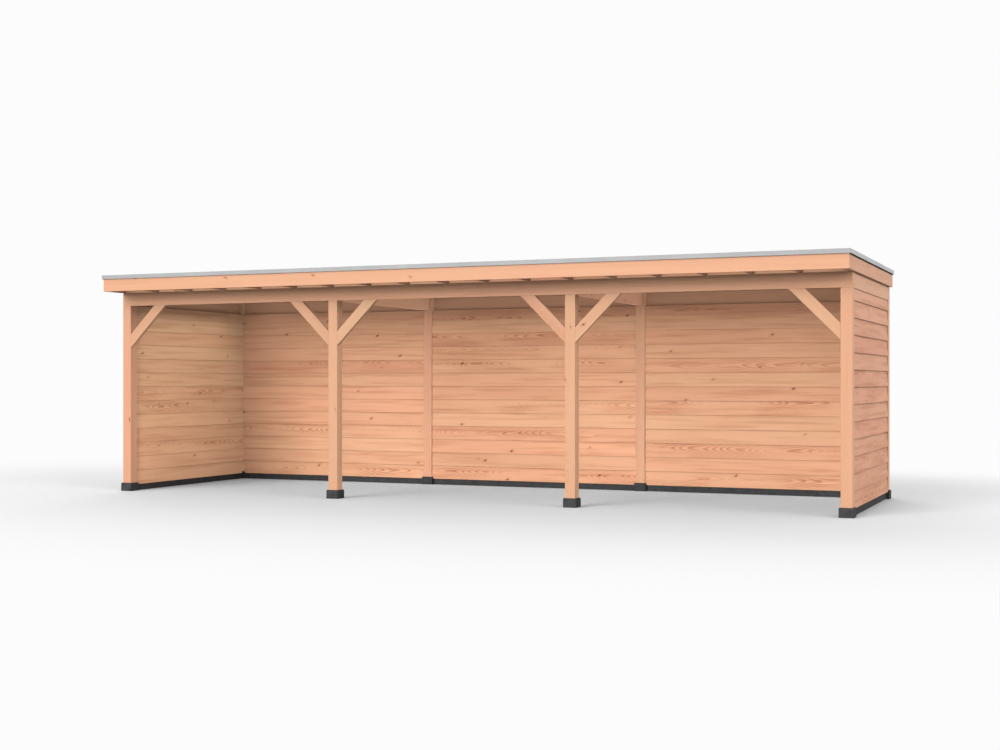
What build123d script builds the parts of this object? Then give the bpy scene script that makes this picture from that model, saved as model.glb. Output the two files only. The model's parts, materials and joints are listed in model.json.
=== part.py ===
from build123d import *
import os

# Plan of the frame, over the outer faces of the posts
bay_count = 3
bay_pitch = 3000
depth_over_posts = 2640

# Posts on concrete feet
post_side = 120
foot_side = 156
foot_height = 102
foot_chamfer = 6

# Concrete ground boards between the feet of the closed sides
ground_board_thickness = 78
ground_board_height = 77

# Closed walls between the posts, their outer boards flush with the posts
wall_thickness = 108

# Ring beams let into the post heads, and the cross beams between the middle posts
clear_height = 2345
beam_thickness = 45
beam_height = 165

# Knee braces under the front beam, cut square at 45 degrees
brace_reach = 530
brace_width = 120
brace_thickness = 45

# Roof joists lying on the ring beams
joist_count = 19
joist_thickness = 45
joist_height = 145
joist_front_reach = 315
joist_back_reach = 24

# Roof deck, membrane and the fascia boards round them
deck_thickness = 18
membrane_thickness = 3
fascia_thickness = 28

# Aluminium roof trim, measured from the fascia's face and top edge
trim_proud = 15
trim_drip = 13
trim_rise = 35
trim_crest_width = 22
trim_slope_run = 14
trim_flange_reach = 60
trim_flange_thickness = 4

# Places that follow from the sizes above
length_over_posts = bay_count * bay_pitch + post_side
front_y = -depth_over_posts / 2 + (joist_front_reach - joist_back_reach) / 2
back_y = front_y + depth_over_posts
half_length = length_over_posts / 2
beam_top = clear_height + beam_height
joist_top = beam_top + joist_height
roof_top = joist_top + deck_thickness + membrane_thickness
roof_front = front_y - joist_front_reach
roof_back = back_y + joist_back_reach
roof_depth = roof_back - roof_front
roof_middle_y = (roof_front + roof_back) / 2
post_row = [bay_pitch * (step - bay_count / 2) for step in range(bay_count + 1)]
front_row_y = front_y + post_side / 2
back_row_y = back_y - post_side / 2

os.makedirs("parts", exist_ok=True)


def save(name, shape):
    export_step(shape, f"parts/{name}.step")


def block(x_low, x_high, y_low, y_high, z_low, z_high):
    size = Box(x_high - x_low, y_high - y_low, z_high - z_low, align=(Align.MIN,) * 3)
    return Pos(x_low, y_low, z_low) * size


def front_beam():
    return block(-half_length, half_length, front_y, front_y + beam_thickness, clear_height, beam_top)


def back_beam():
    return block(-half_length, half_length, back_y - beam_thickness, back_y, clear_height, beam_top)


def side_beam(side):
    outer = side * half_length
    inner = side * (half_length - beam_thickness)
    x_low, x_high = sorted((outer, inner))
    return block(x_low, x_high, front_y + beam_thickness, back_y - beam_thickness, clear_height, beam_top)


def cross_beam(x_middle):
    half = beam_thickness / 2
    return block(
        x_middle - half, x_middle + half, front_y + post_side, back_y - post_side, clear_height, beam_top
    )


# A post runs from its foot to the joists, its head cut away where the ring beams pass
def post(x_middle, y_middle, ring):
    half = post_side / 2
    shaft = block(
        x_middle - half, x_middle + half, y_middle - half, y_middle + half, foot_height, beam_top
    )
    return shaft - ring


def foot(x_middle, y_middle):
    body = Box(foot_side, foot_side, foot_height, align=(Align.CENTER, Align.CENTER, Align.MIN))
    top_edges = body.faces().sort_by(Axis.Z)[-1].edges()
    return Pos(x_middle, y_middle, 0) * chamfer(top_edges, foot_chamfer)


# A ground board fills the run between two feet, centred under the wall
def ground_board(run):
    return Box(run, ground_board_thickness, ground_board_height, align=(Align.CENTER, Align.CENTER, Align.MIN))


# A wall fills the run between two posts, its lower corners cut round the feet
def wall(run):
    half = run / 2
    notch = (foot_side - post_side) / 2
    outline = Polyline(
        (-half + notch, ground_board_height),
        (half - notch, ground_board_height),
        (half - notch, foot_height),
        (half, foot_height),
        (half, clear_height),
        (-half, clear_height),
        (-half, foot_height),
        (-half + notch, foot_height),
        close=True,
    )
    return extrude(Plane.XZ * make_face(outline), amount=-wall_thickness)


# A knee brace in the plane of the front beam, from the post's side to the beam's underside
def brace(x_post, side):
    inner_leg = brace_reach - brace_width * 2 ** 0.5
    outline = Polyline(
        (0, clear_height - brace_reach),
        (side * brace_reach, clear_height),
        (side * inner_leg, clear_height),
        (0, clear_height - inner_leg),
        close=True,
    )
    leaf = extrude(Plane.XZ * make_face(outline), amount=-brace_thickness)
    return Pos(x_post + side * post_side / 2, front_y, 0) * leaf


# Joists in even steps, the outer two flush with the ends of the frame
def roof_joists():
    spacing = (length_over_posts - joist_thickness) / (joist_count - 1)
    joist = Box(joist_thickness, roof_depth, joist_height, align=(Align.CENTER, Align.CENTER, Align.MIN))
    row = GridLocations(spacing, 0, joist_count, 1)
    return Compound([Pos(0, roof_middle_y, beam_top) * place * joist for place in row])


def roof_sheet(thickness, z_low):
    sheet = Box(length_over_posts, roof_depth, thickness, align=(Align.CENTER, Align.CENTER, Align.MIN))
    return Pos(0, roof_middle_y, z_low) * sheet


# A section drawn in depth and height runs along one roof edge, with its ends mitred
def mitred_run(section, run, reach):
    bar = extrude(Plane.YZ * section, amount=run / 2, both=True)
    box = bar.bounding_box()
    plan = Polyline((-run / 2, 0), (run / 2, 0), (run / 2 - reach, reach), (-run / 2 + reach, reach), close=True)
    mitre = Pos(0, 0, box.min.Z) * extrude(make_face(plan), amount=box.size.Z)
    return bar & mitre


def fascia(run):
    height = roof_top - beam_top
    section = make_face(
        Polyline((0, 0), (fascia_thickness, 0), (fascia_thickness, height), (0, height), close=True)
    )
    return Pos(0, 0, beam_top) * mitred_run(section, run, fascia_thickness)


def roof_trim(run):
    reach = trim_proud + trim_flange_reach
    slope_foot = trim_crest_width + trim_slope_run
    section = make_face(
        Polyline(
            (0, -trim_drip),
            (trim_proud, -trim_drip),
            (trim_proud, 0),
            (reach, 0),
            (reach, trim_flange_thickness),
            (slope_foot, trim_flange_thickness),
            (trim_crest_width, trim_rise),
            (0, trim_rise),
            close=True,
        )
    )
    return Pos(0, 0, roof_top) * mitred_run(section, run, reach)


# Frame: feet, posts, ring beams and cross beams
beams = {
    "front_beam": front_beam(),
    "back_beam": back_beam(),
    "left_beam": side_beam(-1),
    "right_beam": side_beam(1),
}
ring = list(beams.values())
for name, beam in beams.items():
    save(name, beam)
for number, x in enumerate(post_row, start=1):
    save(f"front_foot_{number}", foot(x, front_row_y))
    save(f"front_post_{number}", post(x, front_row_y, ring))
    save(f"back_foot_{number}", foot(x, back_row_y))
    save(f"back_post_{number}", post(x, back_row_y, ring))
for number, x in enumerate(post_row[1:-1], start=2):
    save(f"cross_beam_{number}", cross_beam(x))

# Knee braces on the bay side of every front post
for number, x in enumerate(post_row, start=1):
    if number > 1:
        save(f"brace_{number}_left", brace(x, -1))
    if number <= bay_count:
        save(f"brace_{number}_right", brace(x, 1))

# Closed sides: back bays, left end and right end
bay_middles = [(low + high) / 2 for low, high in zip(post_row, post_row[1:])]
back_board = ground_board(bay_pitch - foot_side)
save("back_ground_boards", Compound([Pos(x, back_row_y, 0) * back_board for x in bay_middles]))
for number, x in enumerate(bay_middles, start=1):
    save(f"back_wall_{number}", Pos(x, back_y, 0) * Rot(0, 0, 180) * wall(bay_pitch - post_side))
middle_y = (front_y + back_y) / 2
side_board = Rot(0, 0, 90) * ground_board(depth_over_posts - post_side - foot_side)
side_run = depth_over_posts - post_side * 2
for name, side in (("left", -1), ("right", 1)):
    save(f"{name}_ground_board", Pos(side * (half_length - post_side / 2), middle_y, 0) * side_board)
    save(f"{name}_wall", Pos(side * half_length, middle_y, 0) * Rot(0, 0, side * 90) * wall(side_run))

# Roof: joists, deck, membrane, fascia boards and trim
save("roof_joists", roof_joists())
save("roof_deck", roof_sheet(deck_thickness, joist_top))
save("roof_membrane", roof_sheet(membrane_thickness, joist_top + deck_thickness))
for name, turn in (("front", 0), ("right", 90), ("back", 180), ("left", 270)):
    along_x = name in ("front", "back")
    run = length_over_posts if along_x else roof_depth
    away = (roof_depth if along_x else length_over_posts) / 2
    fascia_away = away + fascia_thickness
    trim_away = fascia_away + trim_proud
    to_edge = Pos(0, roof_middle_y, 0) * Rot(0, 0, turn)
    save(f"{name}_fascia", to_edge * Pos(0, -fascia_away, 0) * fascia(run + fascia_thickness * 2))
    trim_run = run + (fascia_thickness + trim_proud) * 2
    save(f"{name}_roof_trim", to_edge * Pos(0, -trim_away, 0) * roof_trim(trim_run))
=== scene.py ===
import bmesh
import bpy
import json
import math
import random
from mathutils import Matrix, Vector, noise

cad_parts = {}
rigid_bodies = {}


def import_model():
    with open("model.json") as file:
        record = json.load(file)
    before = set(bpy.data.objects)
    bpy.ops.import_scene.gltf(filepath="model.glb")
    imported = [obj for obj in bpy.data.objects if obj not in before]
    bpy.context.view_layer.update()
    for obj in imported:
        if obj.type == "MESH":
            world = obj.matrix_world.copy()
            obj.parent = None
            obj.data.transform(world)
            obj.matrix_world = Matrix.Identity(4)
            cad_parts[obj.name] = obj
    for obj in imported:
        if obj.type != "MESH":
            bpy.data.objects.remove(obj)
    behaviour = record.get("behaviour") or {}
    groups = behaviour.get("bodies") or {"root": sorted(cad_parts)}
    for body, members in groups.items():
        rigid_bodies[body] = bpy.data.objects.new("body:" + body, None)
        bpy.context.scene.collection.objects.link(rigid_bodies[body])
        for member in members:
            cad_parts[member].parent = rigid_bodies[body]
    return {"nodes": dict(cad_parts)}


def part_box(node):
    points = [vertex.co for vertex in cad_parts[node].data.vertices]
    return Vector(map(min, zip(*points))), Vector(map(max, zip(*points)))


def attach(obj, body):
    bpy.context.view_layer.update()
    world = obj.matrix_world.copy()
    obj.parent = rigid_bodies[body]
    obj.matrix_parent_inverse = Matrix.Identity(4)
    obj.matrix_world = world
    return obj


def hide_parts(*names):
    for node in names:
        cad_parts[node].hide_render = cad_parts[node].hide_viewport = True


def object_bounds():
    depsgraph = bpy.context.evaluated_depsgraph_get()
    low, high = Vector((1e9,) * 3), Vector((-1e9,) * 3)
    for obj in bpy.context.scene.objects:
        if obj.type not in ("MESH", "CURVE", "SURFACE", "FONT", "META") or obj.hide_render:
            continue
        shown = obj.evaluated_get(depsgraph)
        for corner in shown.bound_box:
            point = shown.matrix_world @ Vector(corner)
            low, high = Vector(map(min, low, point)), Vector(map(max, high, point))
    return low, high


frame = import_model()
cadLow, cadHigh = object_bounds()
scene = bpy.context.scene
scene.view_settings.view_transform = "Standard"
print("frame loaded,", len(frame["nodes"]), "nodes")


# small helpers for node trees

def freshTree(owner):
    owner.use_nodes = True
    owner.node_tree.nodes.clear()
    return owner.node_tree


def addNode(tree, kind, inputs=None, **settings):
    made = tree.nodes.new(kind)
    for key, value in settings.items():
        setattr(made, key, value)
    for key, value in (inputs or {}).items():
        if isinstance(value, bpy.types.NodeSocket):
            tree.links.new(value, made.inputs[key])
        else:
            made.inputs[key].default_value = value
    return made


def calc(tree, operation, *values, clamp=False):
    made = addNode(tree, "ShaderNodeMath", dict(enumerate(values)), operation=operation, use_clamp=clamp)
    return made.outputs[0]


def remap(tree, value, low, high, toLow=0.0, toHigh=1.0, smooth=True):
    made = addNode(
        tree,
        "ShaderNodeMapRange",
        {"Value": value, "From Min": low, "From Max": high, "To Min": toLow, "To Max": toHigh},
        interpolation_type="SMOOTHSTEP" if smooth else "LINEAR",
    )
    return made.outputs[0]


def blendColour(tree, amount, first, second, mode="MIX"):
    inputs = {0: amount, 6: first, 7: second}
    return addNode(tree, "ShaderNodeMix", inputs, data_type="RGBA", blend_type=mode).outputs[2]


def noiseOn(tree, place, scale, detail, rough=0.5):
    inputs = {"Vector": place, "Scale": scale, "Detail": detail, "Roughness": rough}
    return addNode(tree, "ShaderNodeTexNoise", inputs).outputs["Fac"]


def scaled(tree, place, factors):
    return addNode(tree, "ShaderNodeVectorMath", {0: place, 1: factors}, operation="MULTIPLY").outputs[0]


def attribute(tree, name, output):
    return addNode(tree, "ShaderNodeAttribute", attribute_name=name).outputs[output]


def objectPlace(tree):
    return addNode(tree, "ShaderNodeTexCoord").outputs["Object"]


def newMaterial(name):
    material = bpy.data.materials.new(name)
    tree = freshTree(material)
    shader = addNode(tree, "ShaderNodeBsdfPrincipled")
    output = addNode(tree, "ShaderNodeOutputMaterial")
    tree.links.new(shader.outputs[0], output.inputs["Surface"])
    return material, tree, shader


def dress(tree, shader, look, colour, roughness, height):
    tree.links.new(colour, shader.inputs["Base Color"])
    tree.links.new(roughness, shader.inputs["Roughness"])
    shader.inputs["Metallic"].default_value = look["metallic"]
    shader.inputs["Specular IOR Level"].default_value = look["specular"]
    strength, distance = look["bump"]
    bump = addNode(tree, "ShaderNodeBump", {"Height": height, "Strength": strength, "Distance": distance})
    tree.links.new(bump.outputs[0], shader.inputs["Normal"])


# planed fir: growth rings cut by each board's own place in the log, knots, streaks and fibres
# a noise is given as its scale along the grain, its scale across, its detail and its roughness

firGrain = {
    "knotCells": 3.1,
    "knotStretch": 0.5,
    "knotSlant": 0.26,
    "knotTurn": 1.37,
    "knotRadius": (0.0035, 0.0090),
    "coreRim": (0.003, -0.002),
    "coreColour": (0.10, 0.036, 0.017, 1),
    "coreDepth": 0.94,
    "haloRim": (0.026, 0.0),
    "haloColour": (0.50, 0.20, 0.085, 1),
    "haloDepth": 0.30,
    "haloBend": 0.02,
    "wave": (1.2, 2.2, 2.0, 0.5),
    "ripple": (7.0, 16.0, 2.0, 0.5),
    "rippleBend": 0.010,
    "lateRise": (0.35, 0.86),
    "lateFall": (1.0, 0.9),
    "patch": (1.1, 5.0, 1.0, 0.5),
    "patchRange": (0.42, 0.62),
    "patchDepth": 0.85,
    "streak": (0.9, 20.0, 3.0, 0.55),
    "streakRange": (0.44, 0.72),
    "fibre": (9.0, 420.0, 2.0, 0.6),
    "fibreMiddle": 0.5,
    "fibreDepth": 0.12,
    "fibreRise": 0.5,
    "cloud": (0.35, 3.5, 1.0, 0.5),
    "cloudDepth": 0.16,
    "cloudBase": 0.92,
    "toneDepth": 0.055,
    "redPower": 0.7,
    "greenBlush": -0.055,
    "blueBlush": -0.045,
    "bounce": (0.46, 0.46, 0.46, 1),
    "darkRange": (0.0, 0.6),
    "roughness": (0.56, 0.70),
    "metallic": 0.0,
    "specular": 0.28,
    "bump": (0.35, 0.0006),
}
calmTimber = {
    "early": (0.83, 0.437, 0.260, 1),
    "late": (0.60, 0.255, 0.132, 1),
    "ringStep": 0.0105,
    "ringDepth": 0.24,
    "streakDepth": 0.16,
    "knotShare": 0.24,
}
livelyBoards = {
    "early": (0.82, 0.418, 0.240, 1),
    "late": (0.52, 0.195, 0.093, 1),
    "ringStep": 0.0125,
    "ringDepth": 0.68,
    "streakDepth": 0.40,
    "knotShare": 0.58,
}


def firWood(name, look):
    material, tree, shader = newMaterial(name)
    grain = attribute(tree, "grain", "Vector")
    tone = attribute(tree, "tone", "Fac")
    blush = attribute(tree, "blush", "Fac")
    figure = attribute(tree, "figure", "Vector")
    slant, sway, drawn = addNode(tree, "ShaderNodeSeparateXYZ", {0: figure}).outputs[:3]
    along, across, depth = addNode(tree, "ShaderNodeSeparateXYZ", {0: grain}).outputs[:3]

    def grainNoise(key):
        alongScale, crossScale, detail, rough = look[key]
        return noiseOn(tree, scaled(tree, grain, (alongScale, crossScale, crossScale)), 1.0, detail, rough)

    # knots on a sparse scatter, longer along the grain than across and a little slanted
    side = calc(tree, "ADD", across, calc(tree, "MULTIPLY", depth, look["knotTurn"]))
    side = calc(tree, "MULTIPLY_ADD", along, look["knotSlant"], side)
    flat = addNode(
        tree, "ShaderNodeCombineXYZ", {0: calc(tree, "MULTIPLY", along, look["knotStretch"]), 1: side}
    )
    scatter = addNode(
        tree,
        "ShaderNodeTexVoronoi",
        {"Vector": flat.outputs[0], "Scale": look["knotCells"], "Randomness": 1.0},
        voronoi_dimensions="2D",
    )
    picks = addNode(tree, "ShaderNodeSeparateColor", {0: scatter.outputs["Color"]}).outputs
    chosen = calc(tree, "LESS_THAN", picks[0], look["knotShare"])
    away = calc(tree, "DIVIDE", scatter.outputs["Distance"], look["knotCells"])
    radius = remap(tree, picks[1], 0.0, 1.0, *look["knotRadius"])
    edge = calc(tree, "SUBTRACT", away, radius)
    core = calc(tree, "MULTIPLY", chosen, remap(tree, edge, *look["coreRim"]))
    halo = calc(tree, "MULTIPLY", chosen, remap(tree, edge, *look["haloRim"]))

    # distance from the pith, bent by slow waves along the board and round the knots
    squares = [calc(tree, "POWER", part, 2.0) for part in (across, depth)]
    bent = calc(tree, "MULTIPLY_ADD", along, slant, calc(tree, "SQRT", calc(tree, "ADD", *squares)))
    bent = calc(tree, "MULTIPLY_ADD", grainNoise("wave"), sway, bent)
    bent = calc(tree, "MULTIPLY_ADD", grainNoise("ripple"), look["rippleBend"], bent)
    bent = calc(tree, "MULTIPLY_ADD", halo, look["haloBend"], bent)
    year = calc(tree, "FRACT", calc(tree, "DIVIDE", bent, look["ringStep"]))
    rise, fall = (remap(tree, year, *look[key]) for key in ("lateRise", "lateFall"))
    late = calc(tree, "MULTIPLY", rise, fall)
    patch = remap(tree, grainNoise("patch"), *look["patchRange"])
    patch = calc(tree, "MULTIPLY_ADD", patch, look["patchDepth"], 1.0 - look["patchDepth"])
    rings = calc(tree, "MULTIPLY", calc(tree, "MULTIPLY", late, patch), drawn)

    streaks = remap(tree, grainNoise("streak"), *look["streakRange"])
    fibres = grainNoise("fibre")
    dark = calc(tree, "MULTIPLY", rings, look["ringDepth"])
    dark = calc(tree, "MULTIPLY_ADD", streaks, look["streakDepth"], dark)
    loose = calc(tree, "SUBTRACT", fibres, look["fibreMiddle"])
    dark = calc(tree, "MULTIPLY_ADD", loose, look["fibreDepth"], dark, clamp=True)

    # each board's own tone, which carries the painted light and shade of some pieces, and blush over slow
    # clouds, then the knots
    colour = blendColour(tree, dark, look["early"], look["late"])
    cloud = calc(tree, "MULTIPLY_ADD", grainNoise("cloud"), look["cloudDepth"], look["cloudBase"])
    level = calc(tree, "ADD", calc(tree, "MULTIPLY", tone, look["toneDepth"]), cloud)
    red = calc(tree, "POWER", level, look["redPower"])
    green, blue = (
        calc(tree, "MULTIPLY", level, calc(tree, "MULTIPLY_ADD", blush, look[key], 1.0))
        for key in ("greenBlush", "blueBlush")
    )
    shade = addNode(tree, "ShaderNodeCombineColor", {0: red, 1: green, 2: blue})
    colour = blendColour(tree, 1.0, colour, shade.outputs[0], "MULTIPLY")
    colour = blendColour(tree, calc(tree, "MULTIPLY", halo, look["haloDepth"]), colour, look["haloColour"])
    colour = blendColour(tree, calc(tree, "MULTIPLY", core, look["coreDepth"]), colour, look["coreColour"])

    # light that the timber throws on its neighbours and the floor is kept grey, so shade stays neutral
    bounced = addNode(tree, "ShaderNodeLightPath").outputs["Is Diffuse Ray"]
    colour = blendColour(tree, bounced, colour, look["bounce"])
    roughness = remap(tree, dark, *look["darkRange"], *look["roughness"], smooth=False)
    height = calc(tree, "MULTIPLY_ADD", fibres, look["fibreRise"], calc(tree, "SUBTRACT", rings, core))
    dress(tree, shader, look, colour, roughness, height)
    return material


# cast concrete: fine sand, soft blotches and a few open pores

castConcrete = {
    "dark": (0.042, 0.042, 0.043, 1),
    "pale": (0.077, 0.077, 0.078, 1),
    "pore": (0.02, 0.02, 0.021, 1),
    "blotch": (14.0, 5.0),
    "blotchDepth": 0.6,
    "sand": (420.0, 2.0),
    "sandDepth": 0.45,
    "sandRange": (0.3, 0.7),
    "sandRise": 0.4,
    "mottleRange": (0.30, 0.72),
    "poreCells": 75.0,
    "poreShare": 0.18,
    "poreRim": (0.22, 0.10),
    "roughness": (0.78, 0.92),
    "metallic": 0.0,
    "specular": 0.3,
    "bump": (0.5, 0.0012),
}


def concrete(name, look):
    material, tree, shader = newMaterial(name)
    place = objectPlace(tree)
    blotch = noiseOn(tree, place, *look["blotch"])
    sand = noiseOn(tree, place, *look["sand"])
    cells = addNode(tree, "ShaderNodeTexVoronoi", {"Vector": place, "Scale": look["poreCells"]})
    picks = addNode(tree, "ShaderNodeSeparateColor", {0: cells.outputs["Color"]}).outputs
    chosen = calc(tree, "LESS_THAN", picks[0], look["poreShare"])
    pores = calc(tree, "MULTIPLY", chosen, remap(tree, cells.outputs["Distance"], *look["poreRim"]))
    mottle = calc(tree, "MULTIPLY", blotch, look["blotchDepth"])
    mottle = calc(tree, "MULTIPLY_ADD", sand, look["sandDepth"], mottle)
    colour = blendColour(tree, remap(tree, mottle, *look["mottleRange"]), look["dark"], look["pale"])
    colour = blendColour(tree, pores, colour, look["pore"])
    roughness = remap(tree, sand, *look["sandRange"], *look["roughness"])
    height = calc(tree, "SUBTRACT", calc(tree, "MULTIPLY", sand, look["sandRise"]), pores)
    dress(tree, shader, look, colour, roughness, height)
    return material


# roof trim: satin mill aluminium, drawn along the edge

millTrim = {
    "bright": (0.37, 0.37, 0.37, 1),
    "dull": (0.32, 0.32, 0.321, 1),
    "cloud": (2.3, 3.0),
    "cloudDepth": 0.6,
    "drawn": (6.0, 6.0, 900.0),
    "lines": (1.0, 2.0),
    "lineDepth": 0.4,
    "lineRange": (0.3, 0.7),
    "mixRange": (0.35, 0.65),
    "roughness": (0.50, 0.62),
    "metallic": 0.4,
    "specular": 0.5,
    "bump": (0.05, 0.0002),
}


def aluminium(name, look):
    material, tree, shader = newMaterial(name)
    place = objectPlace(tree)
    cloud = noiseOn(tree, place, *look["cloud"])
    lines = noiseOn(tree, scaled(tree, place, look["drawn"]), *look["lines"])
    mixed = calc(tree, "MULTIPLY", cloud, look["cloudDepth"])
    mixed = calc(tree, "MULTIPLY_ADD", lines, look["lineDepth"], mixed)
    colour = blendColour(tree, remap(tree, mixed, *look["mixRange"]), look["dull"], look["bright"])
    roughness = remap(tree, lines, *look["lineRange"], *look["roughness"])
    dress(tree, shader, look, colour, roughness, lines)
    return material


# roof sheet: dark matt rubber with a thin film of dust

rubberSheet = {
    "sheet": (0.038, 0.038, 0.040, 1),
    "dust": (0.060, 0.059, 0.057, 1),
    "cloud": (2.6, 7.0),
    "cloudRange": (0.42, 0.72),
    "grit": (260.0, 2.0),
    "gritRange": (0.3, 0.7),
    "dustShare": (0.35, 0.8),
    "roughness": (0.80, 0.90),
    "metallic": 0.0,
    "specular": 0.18,
    "bump": (0.2, 0.0006),
}


def rubber(name, look):
    material, tree, shader = newMaterial(name)
    place = objectPlace(tree)
    cloud = noiseOn(tree, place, *look["cloud"])
    grit = noiseOn(tree, place, *look["grit"])
    share = remap(tree, grit, *look["gritRange"], *look["dustShare"])
    amount = calc(tree, "MULTIPLY", remap(tree, cloud, *look["cloudRange"]), share)
    colour = blendColour(tree, amount, look["sheet"], look["dust"])
    roughness = remap(tree, grit, *look["gritRange"], *look["roughness"])
    dress(tree, shader, look, colour, roughness, grit)
    return material


timberFinish = firWood("calm_fir_timber", firGrain | calmTimber)
boardFinish = firWood("lively_fir_boards", firGrain | livelyBoards)
concreteFinish = concrete("anthracite_concrete", castConcrete)
trimFinish = aluminium("mill_aluminium", millTrim)
sheetFinish = rubber("roof_rubber", rubberSheet)
print("finishes made")


# mesh helpers

meshMake = {
    "merged": 0.00002,
    "flat": math.radians(1.0),
    "sharp": math.radians(25.0),
    "parallel": 0.9,
    "nearly": 0.0001,
}
outward = {"left": Vector((-1, 0, 0)), "right": Vector((1, 0, 0)), "back": Vector((0, 1, 0))}
upward = Vector((0, 0, 1))


def wholeOf(bm):
    return bm.verts[:] + bm.edges[:] + bm.faces[:]


def islands(bm):
    left = set(bm.verts)
    groups = []
    for start in list(bm.verts):
        if start not in left:
            continue
        left.discard(start)
        group = [start]
        for vert in group:
            for edge in vert.link_edges:
                other = edge.other_vert(vert)
                if other in left:
                    left.discard(other)
                    group.append(other)
        groups.append(group)
    return groups


def bevelEdges(bm, edges, width, segments, clamp=False):
    bmesh.ops.bevel(
        bm,
        geom=edges,
        offset=width,
        offset_type="OFFSET",
        affect="EDGES",
        segments=segments,
        profile=0.5,
        material=-1,
        clamp_overlap=clamp,
    )


def easeEdges(bm, width, segments=2, along=None):
    edges = [e for e in bm.edges if len(e.link_faces) == 2 and e.calc_face_angle(0.0) > meshMake["sharp"]]
    if along is not None:
        ways = [(e.verts[1].co - e.verts[0].co).normalized() for e in edges]
        edges = [e for e, way in zip(edges, ways) if abs(way.dot(along)) > meshMake["parallel"]]
    bevelEdges(bm, edges, width, segments, clamp=True)


def copyNode(nodeName):
    bm = bmesh.new()
    bm.from_mesh(frame["nodes"][nodeName].data)
    bmesh.ops.remove_doubles(bm, verts=bm.verts, dist=meshMake["merged"])
    bmesh.ops.dissolve_limit(bm, angle_limit=meshMake["flat"], verts=bm.verts, edges=bm.edges)
    return bm


def addBlock(bm, low, high):
    made = bmesh.ops.create_cube(bm, size=1.0)["verts"]
    bmesh.ops.scale(bm, verts=made, vec=high - low)
    bmesh.ops.translate(bm, verts=made, vec=(low + high) / 2)


def drawOut(bm, corners, way):
    # an outline drawn out into a length
    face = bm.faces.new([bm.verts.new(corner) for corner in corners])
    made = bmesh.ops.extrude_face_region(bm, geom=[face], use_keep_orig=True)
    moved = [g for g in made["geom"] if isinstance(g, bmesh.types.BMVert)]
    bmesh.ops.translate(bm, verts=moved, vec=way)


def cutOff(bm, place, way):
    # what lies beyond a plane is taken away and the cut closed
    cut = bmesh.ops.bisect_plane(bm, geom=wholeOf(bm), plane_co=place, plane_no=way, clear_outer=True)
    rim = [g for g in cut["geom_cut"] if isinstance(g, bmesh.types.BMEdge)]
    bmesh.ops.edgeloop_fill(bm, edges=rim)


def settle(bm, name, material, replaced=()):
    bmesh.ops.recalc_face_normals(bm, faces=bm.faces)
    mesh = bpy.data.meshes.new(name)
    bm.to_mesh(mesh)
    bm.free()
    mesh.materials.append(material)
    piece = bpy.data.objects.new(name, mesh)
    scene.collection.objects.link(piece)
    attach(piece, "root")
    if replaced:
        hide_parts(*replaced)


# each loose board's own place in a log, near the heart or to one side of it, and its own tone, to which
# some pieces get a given level of painted light and shade

boardDraw = {
    "ahead": (0, 60),
    "sideways": (0.12, 0.24),
    "deep": (0, 0.05),
    "lines": ((-0.006, 0.006), (0.01, 0.03), (0.2, 0.4)),
    "heartShare": 0.4,
    "heartSideways": (-0.05, 0.05),
    "heartDeep": (0.02, 0.06),
    "heartSlant": (0.03, 0.12),
    "heartSway": (0.10, 0.16),
    "toneSpread": 0.6,
    "toneLimit": 1.6,
}


def markGrain(bm, seed, lean=None, paintedLightShade=0.0, warm=0.0):
    make = boardDraw
    draw = random.Random(seed)
    grain = bm.verts.layers.float_vector.new("grain")
    tone = bm.verts.layers.float.new("tone")
    blush = bm.verts.layers.float.new("blush")
    figure = bm.verts.layers.float_vector.new("figure")
    for group in islands(bm):
        low = Vector([min(v.co[i] for v in group) for i in range(3)])
        high = Vector([max(v.co[i] for v in group) for i in range(3)])
        size = high - low
        middle = (low + high) / 2
        order = sorted(range(3), key=lambda i: -size[i])
        axes = [Vector([1.0 if i == j else 0.0 for j in range(3)]) for i in order]
        if lean is not None:
            axes = [lean, lean.cross(outward["back"]), outward["back"]]
        ahead = draw.uniform(*make["ahead"])
        sideways = draw.choice((-1, 1)) * draw.uniform(*make["sideways"])
        shift = Vector((ahead, sideways, draw.uniform(*make["deep"])))
        lines = Vector([draw.uniform(*limits) for limits in make["lines"]])
        if draw.random() < make["heartShare"]:
            shift.y = draw.uniform(*make["heartSideways"])
            shift.z = draw.uniform(*make["heartDeep"])
            slant = draw.choice((-1, 1)) * draw.uniform(*make["heartSlant"])
            lines = Vector((slant, draw.uniform(*make["heartSway"]), 1.0))
        shade = draw.gauss(0, make["toneSpread"])
        # a piece's given level of painted light and shade is added to its random tone
        shade = max(-make["toneLimit"], min(make["toneLimit"], shade)) + paintedLightShade
        warmth = draw.uniform(-1, 1) + warm
        for vert in group:
            local = vert.co - middle
            vert[grain] = Vector([local.dot(axis) for axis in axes]) + shift
            vert[tone] = shade
            vert[blush] = warmth
            vert[figure] = lines


# posts, beams, braces, joists and fascia boards: the CAD shapes with eased edges

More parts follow.
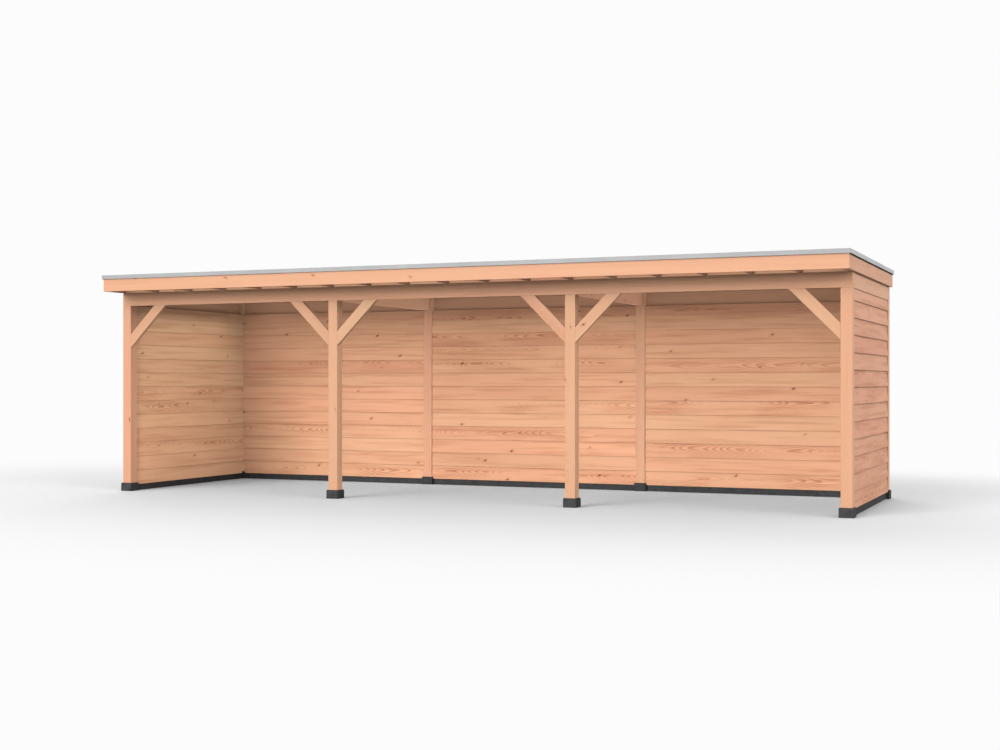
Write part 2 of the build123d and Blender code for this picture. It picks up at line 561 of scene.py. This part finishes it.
timbers = {
    "eased": 0.003,
    "beams": ["front_beam", "back_beam", "left_beam", "right_beam"],
    "posts": (1, 2, 3, 4),
    "crossBeams": (2, 3),
    "roof": ["roof_joists", "front_fascia", "back_fascia", "left_fascia", "right_fascia"],
    "cornerPosts": ("back_post_1", "back_post_4"),
    "rebate": 0.0385,
    "seat": 0.0002,
    "gap": 0.012,
    "gapSides": {
        "left_beam": ["left"],
        "right_beam": ["right"],
        "back_beam": ["left", "right", "back"],
        "front_beam": ["left", "right"],
    },
    # painted light on the front fascia and front beam and painted shade on back posts 2 and 3, added to
    # their tone
    "paintedLightShade": {"front_fascia": 1.9, "front_beam": 1.2, "back_post_2": -2.4, "back_post_3": -2.0},
    "warm": {
        "front_fascia": 1.1,
        "front_beam": 1.1,
        "front_post_1": 1.3,
        "front_post_2": -1.5,
        "front_post_3": -1.0,
        "front_post_4": 1.0,
        "brace_2_left": -1.3,
        "brace_2_right": -1.2,
        "brace_3_right": -1.5,
    },
    "seed": 11,
    "braceSeed": 111,
}


def cornerPost(name):
    # the boards run into a rebate in a back corner post, and its head stands free above them
    low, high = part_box(name)
    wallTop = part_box("back_wall_1")[1].z
    bm = copyNode(name)
    cutOff(bm, (0, 0, wallTop + timbers["seat"]), (0, 0, -1))
    rebate = timbers["rebate"]
    outer, inner, into = (low.x, high.x, -rebate) if low.x < 0 else (high.x, low.x, rebate)
    plan = [
        (outer, low.y),
        (inner + into, low.y),
        (inner + into, low.y + rebate),
        (inner, low.y + rebate),
        (inner, high.y),
        (outer, high.y),
    ]
    drawOut(bm, [(x, y, low.z) for x, y in plan], (0, 0, wallTop - low.z))
    bmesh.ops.recalc_face_normals(bm, faces=bm.faces)
    return bm


def shadowGap(bm, sides):
    # a chamfer along the beam's upper outer edges, under the fascia
    ways = [upward] + [outward[side] for side in sides]
    limits = [max(v.co.dot(way) for v in bm.verts) - meshMake["nearly"] for way in ways]
    picked = []
    for edge in bm.edges:
        onTop, *onSides = [
            all(v.co.dot(way) > limit for v in edge.verts) for way, limit in zip(ways, limits)
        ]
        if onTop and any(onSides):
            picked.append(edge)
    bevelEdges(bm, picked, timbers["gap"], segments=1)


def timberPieces():
    names = list(timbers["beams"])
    for number in timbers["posts"]:
        names += [f"front_post_{number}", f"back_post_{number}"]
    names += [f"cross_beam_{number}" for number in timbers["crossBeams"]]
    names += timbers["roof"]
    for order, name in enumerate(names):
        bm = cornerPost(name) if name in timbers["cornerPosts"] else copyNode(name)
        if name in timbers["gapSides"]:
            shadowGap(bm, timbers["gapSides"][name])
        easeEdges(bm, timbers["eased"])
        # the piece's level of painted light and shade, and its warmth
        paintedLightShade, warm = (timbers[key].get(name, 0.0) for key in ("paintedLightShade", "warm"))
        markGrain(bm, timbers["seed"] + order, paintedLightShade=paintedLightShade, warm=warm)
        settle(bm, name + "_timber", timberFinish, [name])


def bracePieces():
    names = sorted(n for n in frame["nodes"] if n.startswith("brace_"))
    for order, name in enumerate(names):
        bm = copyNode(name)
        easeEdges(bm, timbers["eased"])
        side = -1 if name.endswith("left") else 1
        lean = Vector((side, 0, 1)).normalized()
        markGrain(bm, timbers["braceSeed"] + order, lean, warm=timbers["warm"].get(name, 0.0))
        settle(bm, name + "_timber", timberFinish, [name])


timberPieces()
bracePieces()
print("timbers eased")


# walls: lapped boards outside and inside, battens between

wallMake = {
    "pitch": 0.178,
    "outerFoot": 0.008,
    "lap": 0.018,
    "butt": 0.026,
    "outside": {"lip": 0.0135, "thin": 0.016, "inward": 1},
    "inside": {"lip": 0.0075, "thin": 0.0095, "inward": -1},
    "endGap": 0.0005,
    "eased": 0.002,
    "batten": 0.045,
    "warm": {"left_wall": -1.5, "right_wall": 1.3},
    "outerSeed": 300,
    "innerSeed": 350,
    "battenSeed": 380,
    "onCut": 0.00001,
    # how far the inner boards run into a back corner, to the left as seen from inside where above zero
    "corner": {"back_wall_1": 0.0235, "back_wall_3": -0.0235, "left_wall": -0.0195, "right_wall": 0.0195},
    "faces": {
        "back_wall_1": "back",
        "back_wall_2": "back",
        "back_wall_3": "back",
        "left_wall": "left",
        "right_wall": "right",
    },
}


def lapBoard(bm, run, foot, height, face, skin):
    # a wedge: thick lower edge rebated over the thin top of the board below
    make = wallMake
    top = height + make["lap"]
    slope = skin["thin"] / (make["pitch"] + make["lap"])
    profile = [
        (0, 0),
        (skin["lip"], 0),
        (skin["lip"], make["lap"]),
        (make["butt"], make["lap"]),
        (make["butt"], top),
        (slope * top, top),
    ]
    corners = [(-run / 2, face + skin["inward"] * depth, foot + rise) for depth, rise in profile]
    drawOut(bm, corners, (run, 0, 0))


def lapWall(run, low, high, face, skin, seed, warm):
    make = wallMake
    bm = bmesh.new()
    foot = low
    while high - foot > make["lap"] * 2:
        lapBoard(bm, run, foot, min(make["pitch"], high - foot - make["lap"]), face, skin)
        foot += make["pitch"]
    bmesh.ops.recalc_face_normals(bm, faces=bm.faces)
    easeEdges(bm, make["eased"], along=outward["right"])
    markGrain(bm, seed, warm=warm)
    return bm


def cutRoundFeet(bm, half, rise):
    # the lowest board is cut back at both ends, where the feet stand
    bmesh.ops.bisect_plane(bm, geom=wholeOf(bm), plane_co=(0, 0, rise), plane_no=upward)
    for end in (-half, half):
        faces = [f for f in bm.faces if f.calc_center_median().z < rise]
        edges = dict.fromkeys(e for f in faces for e in f.edges)
        verts = dict.fromkeys(v for f in faces for v in f.verts)
        geom = faces + list(edges) + list(verts)
        bmesh.ops.bisect_plane(bm, geom=geom, plane_co=(end, 0, 0), plane_no=outward["right"])
        gone = []
        for face in bm.faces:
            middle = face.calc_center_median()
            if middle.z < rise and middle.x / end > 1:
                gone.append(face)
        bmesh.ops.delete(bm, geom=gone, context="FACES")
        rim = [e for e in bm.edges if e.is_boundary]
        upright = [e for e in rim if all(abs(v.co.x - end) < wallMake["onCut"] for v in e.verts)]
        level = [e for e in rim if e not in upright]
        levelVerts = {v for e in level for v in e.verts}
        shared = dict.fromkeys(v for e in upright for v in e.verts if v in levelVerts)
        inner = bmesh.ops.contextual_create(bm, geom=list(shared))["edges"]
        bmesh.ops.edgeloop_fill(bm, edges=upright + inner)
        bmesh.ops.edgeloop_fill(bm, edges=level + inner)


def wallPiece(nodeName, side, order):
    make = wallMake
    low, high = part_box(nodeName)
    footLow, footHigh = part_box("back_foot_2")
    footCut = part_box("back_post_2")[0].x - footLow.x
    inward = -outward[side]
    alongWall = inward.cross(upward)
    size = high - low
    run = abs(size.dot(alongWall))
    thick = abs(size.dot(inward))
    origin = (low + high) / 2 - inward * thick / 2
    origin.z = 0
    turn = Matrix((alongWall, inward, upward)).transposed().to_4x4()
    place = Matrix.Translation(origin) @ turn
    clear = run - 2 * make["endGap"]
    warm = make["warm"].get(nodeName, 0.0)
    corner = make["corner"].get(nodeName, 0.0)

    foot = low.z + make["outerFoot"]
    outer = lapWall(clear, foot, high.z, 0, make["outside"], make["outerSeed"] + order, warm)
    cutRoundFeet(outer, run / 2 - footCut, footHigh.z)
    bmesh.ops.transform(outer, matrix=place, verts=outer.verts)
    settle(outer, nodeName + "_outer_boards", boardFinish, [nodeName])

    reach = clear + abs(corner)
    inner = lapWall(reach, low.z, high.z, thick, make["inside"], make["innerSeed"] + order, warm)
    bmesh.ops.translate(inner, verts=inner.verts, vec=(corner / 2, 0, 0))
    cutRoundFeet(inner, run / 2 - footCut, footHigh.z)
    bmesh.ops.transform(inner, matrix=place, verts=inner.verts)
    settle(inner, nodeName + "_inner_boards", boardFinish)

    rails = bmesh.new()
    tall = make["batten"]
    nearSide = make["butt"] + make["endGap"]
    farSide = thick - nearSide
    for railLow, half in ((low.z, clear / 2 - footCut), (high.z - tall, clear / 2)):
        addBlock(rails, Vector((-half, nearSide, railLow)), Vector((half, farSide, railLow + tall)))
    easeEdges(rails, make["eased"], segments=1)
    markGrain(rails, make["battenSeed"] + order)
    bmesh.ops.transform(rails, matrix=place, verts=rails.verts)
    settle(rails, nodeName + "_battens", timberFinish)


for order, (nodeName, side) in enumerate(wallMake["faces"].items()):
    wallPiece(nodeName, side, order)
print("walls boarded")


# roof: deck boards on the joists, rubber sheet over them, and dark rubber strips under the trim as painted
# shade

deckMake = {
    "rows": 21,
    "gap": 0.0012,
    "groove": 0.003,
    "cuts": (-0.33, 0.0, 0.33),
    "step": 0.11,
    "repeat": 3,
    "seed": 500,
}


def deckPiece():
    make = deckMake
    low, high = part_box("roof_deck")
    width = (high.y - low.y) / make["rows"]
    length = high.x - low.x
    bm = bmesh.new()
    for row in range(make["rows"]):
        slide = (row % make["repeat"] - 1) * make["step"]
        stops = [0.0] + [0.5 + cut / 2 + slide for cut in make["cuts"]] + [1.0]
        for start, end in zip(stops, stops[1:]):
            corner = Vector((low.x + length * start + make["gap"], low.y + width * row, low.z))
            opposite = Vector((low.x + length * end, low.y + width * (row + 1) - make["gap"], high.z))
            addBlock(bm, corner, opposite)
    easeEdges(bm, make["groove"], segments=1)
    markGrain(bm, make["seed"])
    settle(bm, "roof_deck_boards", boardFinish, ["roof_deck"])


sheetMake = {
    "cells": (92, 30),
    "thinner": 3,  # times thinner than the CAD sheet
    "ripple": 0.0007,
    "rippleScale": 1.7,
    "rippleDrop": 0.6,
    "laps": (-1.52, 1.52),
    "lapWidth": 0.09,
    "lapRise": 0.0012,
    "lapInset": 0.02,
}


def sheetPiece():
    make = sheetMake
    low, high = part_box("roof_membrane")
    size = high - low
    middle = (low + high) / 2
    across, deep = make["cells"]
    bm = bmesh.new()
    bmesh.ops.create_grid(bm, x_segments=across, y_segments=deep, size=0.5)
    bmesh.ops.scale(bm, verts=bm.verts, vec=(size.x, size.y, 1))
    bmesh.ops.translate(bm, verts=bm.verts, vec=(middle.x, middle.y, high.z - make["lapRise"]))
    for vert in bm.verts:
        vert.co.z += make["ripple"] * (noise.noise(vert.co * make["rippleScale"]) - make["rippleDrop"])
    bmesh.ops.solidify(bm, geom=bm.faces, thickness=size.z / make["thinner"])
    half = make["lapWidth"] / 2
    inset = make["lapInset"]
    for x in make["laps"]:
        addBlock(bm, Vector((x - half, low.y + inset, low.z)), Vector((x + half, high.y - inset, high.z)))
    settle(bm, "roof_rubber_sheet", sheetFinish, ["roof_membrane"])


# painted shade: how thick the dark strips are, how far they show below the trim's drip and how far they
# reach up behind it
trimShadowMake = {"thick": 0.0025, "shown": 0.012, "hidden": 0.012, "eased": 0.000625}


def trimShadowStrips():
    # painted shade: dark strips of the roof rubber just below the trim's drip at the ends and the back,
    # put where the line under the trim is only in shade
    make = trimShadowMake
    bm = bmesh.new()
    for side, way in outward.items():
        low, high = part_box(f"{side}_fascia")
        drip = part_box(f"{side}_roof_trim")[0].z
        low.z, high.z = drip - make["shown"], drip + make["hidden"]
        axis = 0 if way.x else 1
        if way[axis] > 0:
            low[axis], high[axis] = high[axis], high[axis] + make["thick"]
        else:
            low[axis], high[axis] = low[axis] - make["thick"], low[axis]
        addBlock(bm, low, high)
    easeEdges(bm, make["eased"], segments=1)
    settle(bm, "roof_rubber_edges", sheetFinish)


noggingMake = {"thick": 0.028, "back": 0.002, "gap": 0.001, "seed": 560}


def noggingPieces():
    # short boards standing on the front and back beams that close the roof between the joists
    make = noggingMake
    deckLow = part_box("roof_deck")[0]
    joists = copyNode("roof_joists")
    spans = sorted((min(v.co.x for v in group), max(v.co.x for v in group)) for group in islands(joists))
    joists.free()
    for side, inward in (("front", 1), ("back", -1)):
        beamLow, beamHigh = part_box(f"{side}_beam")
        face = beamLow.y if inward > 0 else beamHigh.y
        near, far = sorted((face + inward * make["back"], face + inward * (make["back"] + make["thick"])))
        bm = bmesh.new()
        for left, right in zip(spans, spans[1:]):
            low = Vector((left[1] + make["gap"], near, beamHigh.z))
            high = Vector((right[0] - make["gap"], far, deckLow.z))
            addBlock(bm, low, high)
        easeEdges(bm, make["gap"], segments=1)
        markGrain(bm, make["seed"] + inward)
        settle(bm, f"{side}_noggings", timberFinish)


deckPiece()
sheetPiece()
trimShadowStrips()
noggingPieces()
print("roof laid")


# trim in bent lengths with mitred ends

trimMake = {
    "turns": {"front": 0, "right": 90, "back": 180, "left": 270},
    "leaf": 0.002,
    "proud": 0.015,
    "drip": 0.013,
    "rise": 0.035,
    "crest": 0.022,
    "run": 0.014,
    "flange": 0.060,
    "foot": 0.004,
    "rounding": 0.004,
    "roundSteps": 4,
    "crestBand": 0.0005,
    "shortest": 0.1,
    "stock": 2.5,
    "joint": 0.001,
}


def trimLength(bm, start, end):
    make = trimMake
    leaf = make["leaf"]
    reach = make["proud"] + make["flange"]
    bend = make["crest"] + make["run"]
    profile = [
        (0, -make["drip"]),
        (0, make["rise"]),
        (make["crest"], make["rise"]),
        (bend, make["foot"]),
        (reach, make["foot"]),
        (reach, make["foot"] - leaf),
        (bend - leaf, make["foot"] - leaf),
        (make["crest"] - leaf, make["rise"] - leaf),
        (leaf, make["rise"] - leaf),
        (leaf, -make["drip"]),
    ]
    drawOut(bm, [(start, depth, rise) for depth, rise in profile], (end - start, 0, 0))


def isCrest(edge):
    first, second = (v.co for v in edge.verts)
    high = min(first.z, second.z) > trimMake["rise"] - trimMake["crestBand"]
    return high and abs(first.x - second.x) > trimMake["shortest"]


def trimPieces():
    make = trimMake
    middle = (cadLow + cadHigh) / 2
    for side, angle in make["turns"].items():
        low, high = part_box(f"{side}_roof_trim")
        size = high - low
        run = max(size.x, size.y)
        pieces = round(run / make["stock"])
        bm = bmesh.new()
        for number in range(pieces):
            start = -run / 2 + run * number / pieces
            trimLength(bm, start + make["joint"] / 2, start + run / pieces - make["joint"] / 2)
        bmesh.ops.recalc_face_normals(bm, faces=bm.faces)
        bevelEdges(bm, [e for e in bm.edges if isCrest(e)], make["rounding"], make["roundSteps"])
        for end in (-1, 1):
            cutOff(bm, (end * run / 2, 0, 0), (end, 1, 0))
        away = cadHigh.y - middle.y if side in ("front", "back") else cadHigh.x - middle.x
        turn = Matrix.Rotation(math.radians(angle), 4, "Z")
        centre = Matrix.Translation((middle.x, middle.y, high.z - make["rise"]))
        place = centre @ turn @ Matrix.Translation((0, -away, 0))
        bmesh.ops.transform(bm, matrix=place, verts=bm.verts)
        settle(bm, f"{side}_trim_length", trimFinish, [f"{side}_roof_trim"])


# feet and ground boards: the CAD shapes with eased edges

stoneMake = {"eased": 0.004}


def stonePieces():
    for name in sorted(frame["nodes"]):
        if "foot" in name or "ground_board" in name:
            bm = copyNode(name)
            easeEdges(bm, stoneMake["eased"])
            settle(bm, name + "_cast", concreteFinish, [name])


trimPieces()
stonePieces()
print("trim and concrete finished")


# camera as in the photograph, level with a small shift

shot = {
    "place": (6.933, -15.613, 1.390),
    "yaw": 23.121,
    "lens": 50.414,
    "sensor": 36.0,
    "shift": (-0.0088, 0.0063),
    "clip": 500.0,
}


def makeCamera():
    data = bpy.data.cameras.new("shot")
    data.sensor_width = shot["sensor"]
    data.lens = shot["lens"]
    data.shift_x, data.shift_y = shot["shift"]
    data.clip_end = shot["clip"]
    camera = bpy.data.objects.new("shot", data)
    camera.location = shot["place"]
    camera.rotation_euler = (math.pi / 2, 0, math.radians(shot["yaw"]))
    scene.collection.objects.link(camera)
    scene.camera = camera


# studio: pale floor that fades into white, soft sky, broad lamps round it and soft panels under the roof
# every panel, and a lamp with "only", leaves out the floor and the concrete
# "only" gives the starts of the names that are lit

studio = {
    "floorSpan": 120.0,
    "floorBounce": 0.20,
    "floorSeen": 1.0,
    "squeeze": (0.62, 1.0, 1.0),
    "fade": (3.9, 8.0),
    "white": 0.975,
    "sky": 0.55,
    "lampAway": 20.0,
}
broadLamps = {
    "key_lamp": {"turn": -20.0, "rise": 18.0, "angle": 40.0, "power": 2.1},
    "right_lamp": {"turn": 70.0, "rise": 25.0, "angle": 36.0, "power": 0.62},
    "side_lamp": {
        "turn": 80.0,
        "rise": 38.0,
        "angle": 20.0,
        "power": 0.58,
        "only": ("right_", "front_post_4", "back_post_4"),
    },
    "post_lamp": {
        "turn": 78.0,
        "rise": 8.0,
        "angle": 20.0,
        "power": 0.35,
        "only": ("front_post_2", "front_post_3"),
    },
    "rear_lamp": {"turn": 170.0, "rise": 30.0, "angle": 40.0, "power": 0.9, "only": ""},
    "trim_lamp": {"turn": 84.0, "rise": 14.0, "angle": 20.0, "power": 1.3, "only": "right_trim"},
    "back_lamp": {"turn": -150.0, "rise": 42.0, "angle": 40.0, "power": 0.45},
    "cross_lamp": {
        "turn": 90.0,
        "rise": 4.0,
        "angle": 20.0,
        "power": 0.7,
        "only": ("cross_beam", "back_post_2", "back_post_3"),
        "shadowless": True,
    },
}
insidePanels = {
    "low_panel": {"place": (0, -1.0, 0.45), "face": (90, 0), "size": (8.8, 0.7), "level": 0.55},
    "tall_panel": {"place": (0, -1.0, 1.5), "face": (90, 0), "size": (8.8, 1.4), "level": 0.28},
    "left_panel": {"place": (-3.0, 0.1, 0.7), "face": (90, 90), "size": (2.2, 1.0), "level": 0.66},
    "brow_panel": {"place": (0, 1.0, 2.28), "face": (90, 0), "size": (8.6, 0.1), "level": 0.75},
    "head_panel": {
        "place": (0, 0.95, 2.43),
        "face": (90, 0),
        "size": (8.6, 0.12),
        "level": 0.8,
        "only": ("back_post_2", "back_post_3"),
    },
    "roof_panel": {"place": (0, 0.0, 2.3), "face": (0, 0), "size": (8.6, 2.0), "level": 1.0},
    "rafter_panel": {"place": (0, 0.1, 2.29), "face": (180, 0), "size": (8.6, 2.2), "level": 0.16},
    "eave_panel": {
        "place": (0, -1.42, 2.42),
        "face": (130, 0),
        "size": (9.0, 0.1),
        "level": 3.0,
        "only": "front_nogging",
    },
}


def seenDirectly(tree):
    rays = addNode(tree, "ShaderNodeLightPath").outputs
    direct = calc(tree, "MAXIMUM", rays["Is Camera Ray"], rays["Is Glossy Ray"])
    return calc(tree, "MAXIMUM", direct, rays["Is Transmission Ray"])


def floorFinish():
    material = bpy.data.materials.new("pale_floor")
    tree = freshTree(material)
    direct = seenDirectly(tree)
    level = remap(tree, direct, 0.0, 1.0, studio["floorBounce"], studio["floorSeen"], smooth=False)
    grey = addNode(tree, "ShaderNodeCombineColor", {0: level, 1: level, 2: level}).outputs[0]
    matte = addNode(tree, "ShaderNodeBsdfDiffuse", {"Color": grey}).outputs[0]
    white = (studio["white"], studio["white"], studio["white"], 1)
    glow = addNode(tree, "ShaderNodeEmission", {"Color": white, "Strength": 1.0}).outputs[0]
    squeezed = scaled(tree, objectPlace(tree), studio["squeeze"])
    away = addNode(tree, "ShaderNodeVectorMath", {0: squeezed}, operation="LENGTH").outputs["Value"]
    fade = calc(tree, "MULTIPLY", direct, remap(tree, away, *studio["fade"]))
    mixed = addNode(tree, "ShaderNodeMixShader", {0: fade, 1: matte, 2: glow}).outputs[0]

    # clear from below, so the underside of the canopy can be looked at
    under = addNode(tree, "ShaderNodeNewGeometry").outputs["Backfacing"]
    clear = addNode(tree, "ShaderNodeBsdfTransparent").outputs[0]
    mixed = addNode(tree, "ShaderNodeMixShader", {0: under, 1: mixed, 2: clear}).outputs[0]
    output = addNode(tree, "ShaderNodeOutputMaterial")
    tree.links.new(mixed, output.inputs["Surface"])
    return material


def makeFloor():
    bm = bmesh.new()
    bmesh.ops.create_grid(bm, x_segments=1, y_segments=1, size=studio["floorSpan"])
    mesh = bpy.data.meshes.new("floor")
    bm.to_mesh(mesh)
    bm.free()
    mesh.materials.append(floorFinish())
    floor = bpy.data.objects.new("floor", mesh)
    scene.collection.objects.link(floor)


def makeSky():
    world = bpy.data.worlds.new("studio")
    tree = freshTree(world)
    level = remap(tree, seenDirectly(tree), 0.0, 1.0, studio["sky"], studio["white"], smooth=False)
    sky = addNode(tree, "ShaderNodeBackground", {"Color": (1, 1, 1, 1), "Strength": level})
    output = addNode(tree, "ShaderNodeOutputWorld")
    tree.links.new(sky.outputs[0], output.inputs["Surface"])
    scene.world = world


def limitLight(lamp, make):
    lit = bpy.data.collections.new(lamp.name + "_on")
    for piece in scene.collection.objects:
        lightable = piece.type == "MESH" and piece.name != "floor" and not piece.name.endswith("_cast")
        if lightable and piece.name.startswith(make.get("only", "")):
            lit.objects.link(piece)
    lamp.light_linking.receiver_collection = lit
    if make.get("shadowless"):
        lamp.light_linking.blocker_collection = lit


def makeLamps():
    for name, make in broadLamps.items():
        data = bpy.data.lights.new(name, "SUN")
        data.energy = make["power"]
        data.angle = math.radians(make["angle"])
        lamp = bpy.data.objects.new(name, data)
        turn = math.radians(make["turn"])
        rise = math.radians(make["rise"])
        level = math.cos(rise)
        toLamp = Vector((math.sin(turn) * level, -math.cos(turn) * level, math.sin(rise)))
        lamp.rotation_euler = toLamp.to_track_quat("Z", "Y").to_euler()
        lamp.location = toLamp * studio["lampAway"]
        scene.collection.objects.link(lamp)
        if "only" in make:
            limitLight(lamp, make)


def makePanels():
    # all of these leave the floor's shadow alone
    for name, make in insidePanels.items():
        data = bpy.data.lights.new(name, "AREA")
        data.shape = "RECTANGLE"
        data.size, data.size_y = make["size"]
        data.energy = math.pi * make["level"] * data.size * data.size_y
        panel = bpy.data.objects.new(name, data)
        panel.location = make["place"]
        tilt, turn = make["face"]
        panel.rotation_euler = (math.radians(tilt), 0, math.radians(turn))
        panel.visible_camera = False
        panel.visible_glossy = False
        limitLight(panel, make)
        scene.collection.objects.link(panel)


makeCamera()
makeFloor()
makeSky()
makeLamps()
makePanels()
print("camera, floor and light set")
